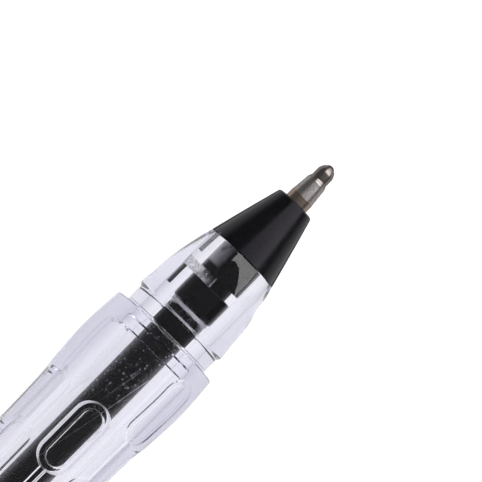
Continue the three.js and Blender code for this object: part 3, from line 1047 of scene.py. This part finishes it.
def cut(piece, cutters):
    """Takes the cutters' shapes out of a piece and removes the cutters."""
    for cutter in cutters:
        modifier = piece.modifiers.new("cut", "BOOLEAN")
        modifier.operation = "DIFFERENCE"
        modifier.solver = "EXACT"
        modifier.object = cutter
    bpy.context.view_layer.update()
    depsgraph = bpy.context.evaluated_depsgraph_get()
    mesh = bpy.data.meshes.new_from_object(piece.evaluated_get(depsgraph))
    piece.modifiers.clear()
    piece.data = mesh
    mesh.shade_smooth()
    mesh.set_sharp_from_angle(angle=math.radians(SHARP))
    for cutter in cutters:
        bpy.data.objects.remove(cutter)


def clip_place(s, height, aside):
    """A place beside the clip's middle line: along the pen, above its axis and across the strip."""
    across = Vector((0, math.cos(CLIP_ROLL), math.sin(CLIP_ROLL)))
    return place(s, height, CLIP_ROLL) + across * aside * MM


def tab_slot():
    """A block that cuts the slot for the clip's tab."""
    half = CLIP_THICKNESS / 2 + CLIP_GAP
    width = CLIP_WIDTH + 2 * CLIP_GAP
    lengths = (CLIP_TAB_AT - half, CLIP_TAB_AT + half)
    heights = (CAP_BORE - CLIP_TAB_DEPTH - CLIP_GAP, SLOT_TOP)
    corners = [(s, h, a) for s in lengths for h in heights for a in (-width / 2, width / 2)]
    polygons = [(0, 1, 3, 2), (4, 6, 7, 5), (0, 4, 5, 1), (2, 3, 7, 6), (0, 2, 6, 4), (1, 5, 7, 3)]
    return make_mesh("slot", [clip_place(*corner) for corner in corners], polygons)


def vent(index):
    """One of the crown's through holes, with a countersunk mouth."""
    roll = CLIP_ROLL + (index + 0.5) * 2 * math.pi / VENTS
    middle = place(0, VENT_RING, roll) - place(0, 0, 0)
    hole = revolve("vent", [
        (VENT_START, 0),
        (VENT_START, VENT_RADIUS),
        (CROWN_END - VENT_SINK, VENT_RADIUS),
        (VENT_END, VENT_RADIUS + VENT_SINK_WIDTH),
        (VENT_END, 0),
    ], 32)
    hole.data.transform(Matrix.Translation(middle))
    return hole


def make_cap(material):
    shell = revolve("cap_moulding", rounded([
        (CAP_RIM, CAP_MOUTH, 0.08),
        (CAP_RIM, CAP_RIM_RADIUS, 0.25),
        (CAP_BAND_END, CAP_RIM_RADIUS, 0.25),
        (CAP_BAND_FOOT, CAP_RADIUS, 0.1),
        (CAP_END - CAP_END_EDGE, CAP_END_RADIUS),
        (CAP_END, CAP_END_RADIUS - CAP_END_EDGE / 2),
        (CAP_END, CAP_BORE),
        (CAP_BORE_START, CAP_BORE, 0.1),
        (CAP_LIP_END, CAP_LIP, 0.1),
        (CAP_LIP_START, CAP_LIP, 0.1),
    ]), 128)
    cut(shell, [tab_slot()])
    dress(shell, "cap", "cap_plastic", material, "cap_shell")
    crown = revolve("crown_plug", rounded([
        (CROWN_START, 0),
        (CROWN_START, CAP_BORE - FIT_GAP, 0.15),
        (CAP_END, CAP_BORE - FIT_GAP),
        (CROWN_HEAD, CAP_END_RADIUS, 0.08),
        (CROWN_END, CAP_END_RADIUS, 0.6),
        (CROWN_END, 0),
    ]), 128)
    cut(crown, [tab_slot(), *(vent(i) for i in range(VENTS))])
    dress(crown, "cap", "cap_plastic", material, "cap_crown")


def curve_points(corners, steps):
    """A Bezier curve of two, three or four corners, as points without the first."""
    points = []
    for i in range(1, steps + 1):
        t = i / steps
        line = [Vector(corner) for corner in corners]
        while len(line) > 1:
            line = [a.lerp(b, t) for a, b in zip(line, line[1:])]
        points.append(line[0])
    return points


def clip_line():
    """The strip's middle line from its tab to its toe, as (s, height)."""
    middle = CAP_RADIUS + CLIP_STANDOFF + CLIP_THICKNESS / 2
    bend_end = CLIP_TAB_AT - CLIP_BEND
    touch = CAP_RADIUS + CLIP_GAP + CLIP_THICKNESS / 2
    toe = bend_end - CLIP_LENGTH
    dip = toe + CLIP_CURL / 2
    root = (CLIP_TAB_AT, CAP_BORE - CLIP_TAB_DEPTH)
    high = (CLIP_TAB_AT, middle - CLIP_BEND)
    dip_start = (toe + 2 * CLIP_CURL, middle)
    rise = (toe + CLIP_CURL, middle)
    fall = (toe + CLIP_CURL, touch)
    toe_curve = ((dip, touch), (toe + CLIP_THICKNESS, touch), (toe, touch + CLIP_TOE_RISE))
    return [
        Vector(root),
        *curve_points((root, high), 4),
        *curve_points((high, (CLIP_TAB_AT, middle), (bend_end, middle)), 14),
        *curve_points(((bend_end, middle), dip_start), 24),
        *curve_points((dip_start, rise, fall, (dip, touch)), 24),
        *curve_points(toe_curve, 16),
    ]


def strip_section(width):
    """The strip's section with rounded edges, as (across, through)."""
    half = CLIP_THICKNESS / 2
    edge = CLIP_EDGE
    section = []
    for quarter, (side, face) in enumerate(((1, 1), (-1, 1), (-1, -1), (1, -1))):
        middle = (side * (width / 2 - edge), face * (half - edge))
        for i in range(CLIP_EDGE_STEPS + 1):
            turn = (quarter + i / CLIP_EDGE_STEPS) * math.pi / 2
            section.append((middle[0] + edge * math.cos(turn), middle[1] + edge * math.sin(turn)))
    return section


def make_clip(material):
    line = clip_line()
    vertices = []
    for i, point in enumerate(line):
        way = (line[min(i + 1, len(line) - 1)] - line[max(i - 1, 0)]).normalized()
        through = Vector((-way.y, way.x))
        left = (point - line[-1]).length
        round_off = 1 - math.sqrt(max(0, 1 - (1 - min(left / CLIP_TOE_ROUND, 1)) ** 2))
        width = CLIP_WIDTH - CLIP_TOE_ROUND * round_off
        for aside, deep in strip_section(width):
            spot = point + through * deep
            vertices.append(clip_place(spot.x, spot.y, aside))
    count = len(strip_section(CLIP_WIDTH))
    last = len(vertices) - count
    polygons = [tuple(range(count)), tuple(reversed(range(last, len(vertices))))]
    for base in range(0, last, count):
        polygons += [
            (base + k, base + count + k, base + count + (k + 1) % count, base + (k + 1) % count)
            for k in range(count)
        ]
    clip = make_mesh("clip_strip", vertices, polygons, CLIP_SHARP)
    dress(clip, "clip", "clip_steel", material, "cap_clip")


# Studio


def seen_rays(tree):
    """1 for rays that see a thing, as no matt surface sent them on, and 1 for mirrored rays."""
    path = add(tree, "LightPath")
    kinds = [path.outputs[f"Is {kind} Ray"] for kind in ("Camera", "Glossy", "Transmission")]
    unlit = compute(tree, "LESS_THAN", path.outputs["Diffuse Depth"], 0.5)
    mirrored = compute(tree, "GREATER_THAN", path.outputs["Glossy Depth"], 0.5)
    return product(tree, largest(tree, *kinds), unlit), mirrored


def show(tree, output, seen, unseen_shader, seen_shader):
    """Gives an output one shader where it is seen, and the other where it only lights."""
    mix = add(tree, "MixShader", fac=seen)
    tree.links.new(unseen_shader.outputs[0], mix.inputs[1])
    tree.links.new(seen_shader.outputs[0], mix.inputs[2])
    tree.links.new(mix.outputs[0], tree.nodes[output].inputs["Surface"])


def make_floor():
    """A floor that keeps the object's shadow and glows white where it is seen."""
    bpy.ops.mesh.primitive_plane_add(size=FLOOR_SIZE, location=(0, 0, 0))
    floor = bpy.context.object
    floor.name = "studio_floor"
    material, tree, shader = new_material("studio_white", base_color=FLOOR_GREY, roughness=0.9)
    seen, mirrored = seen_rays(tree)
    split = add(tree, "SeparateXYZ", vector=own_place(tree))
    aside = compute(tree, "ABSOLUTE", split.outputs["Y"])
    fade = add(tree, "MapRange", value=aside, **MIRRORED_GLOW).outputs["Result"]
    strength = add(tree, "Mix", data_type="FLOAT", factor=mirrored, a=FLOOR_GLOW, b=fade)
    glow = add(tree, "Emission", strength=strength.outputs["Result"])
    both = add(tree, "AddShader")
    tree.links.new(shader.outputs[0], both.inputs[0])
    tree.links.new(glow.outputs[0], both.inputs[1])
    show(tree, "Material Output", seen, shader, both)
    floor.data.materials.append(material)


def make_world():
    """A world that is white where it is seen, and a darkening sky in mirrors."""
    world = bpy.data.worlds.new("studio")
    world.use_nodes = True
    bpy.context.scene.world = world
    tree = world.node_tree
    lit = tree.nodes["Background"]
    lit.inputs["Color"].default_value = SKY_COLOUR
    lit.inputs["Strength"].default_value = SKY_LIGHT
    seen, mirrored = seen_rays(tree)
    way = add(tree, "TexCoord").outputs["Generated"]
    split = add(tree, "SeparateXYZ", vector=way)
    sky = ramp(tree, split.outputs["Z"], MIRRORED_SKY)
    shown = add(tree, "Background", strength=1.0)
    tree.links.new(mixed(tree, mirrored, WHITE, sky), shown.inputs["Color"])
    show(tree, "World Output", seen, lit, shown)


def stand(item, spot, right, up, back):
    """Stands a lamp or a camera at a spot. It looks away from back."""
    turn = Matrix((right, up, back)).transposed().to_4x4()
    item.matrix_world = Matrix.Translation(spot) @ turn
    bpy.context.scene.collection.objects.link(item)


def make_key_lamp():
    """A softbox above the pen's front. One side of it runs along KEY_EDGE."""
    back = Vector(KEY_TOWARD).normalized()
    edge = Vector(KEY_EDGE)
    side = (edge - back * back.dot(edge)).normalized()
    data = bpy.data.lights.new("key", "AREA")
    data.shape = "RECTANGLE"
    data.size, data.size_y = KEY_SIZE
    data.energy = KEY_POWER
    lamp = bpy.data.objects.new("key", data)
    stand(lamp, place(VIEW_S, 0, 0) + back * KEY_DISTANCE, side, back.cross(side), back)


def make_camera():
    """Looks down on the pen's front, leaning a little to the tail, the pen rising to the right."""
    data = bpy.data.cameras.new("camera")
    data.sensor_width = SENSOR
    data.lens = SENSOR * VIEW_DISTANCE / VIEW_WIDTH
    data.clip_start = 0.01
    data.clip_end = 20
    camera = bpy.data.objects.new("camera", data)
    back = Vector((-math.sin(VIEW_LEAN), 0, math.cos(VIEW_LEAN)))
    to_point = Vector((math.cos(VIEW_LEAN), 0, math.sin(VIEW_LEAN)))
    aside = Vector((0, -1, 0))
    right = to_point * math.cos(VIEW_TURN) + aside * math.sin(VIEW_TURN)
    up = to_point * math.sin(VIEW_TURN) - aside * math.cos(VIEW_TURN)
    target = place(VIEW_S, VIEW_ASIDE, -math.pi / 2)
    stand(camera, target + back * VIEW_DISTANCE * MM, right, up, back)
    bpy.context.scene.camera = camera


make_camera()
make_floor()
make_world()
make_key_lamp()

nose_black = nose_plastic()
cap_black = black_plastic("cap_gloss", POLYPROPYLENE_IOR, CAP_BLACKS, 0.22, 0.32, 0.05)[0]
make_ball(turned_metal("carbide", CARBIDE_GREYS, 0.12))
make_tip(turned_metal("nickel_silver", TIP_GREYS, 0.22, TIP_STAIN))
make_nose(nose_black)
make_plug_details(nose_black, milky_plastic(), crazed_plastic())
make_refill(tube_plastic(), black_ink(), follower_grease())
make_barrel(clear_plastic())
make_tail_plug(cap_black)
make_cap(cap_black)
make_clip(brushed_steel())

bpy.context.scene.view_settings.view_transform = "Standard"
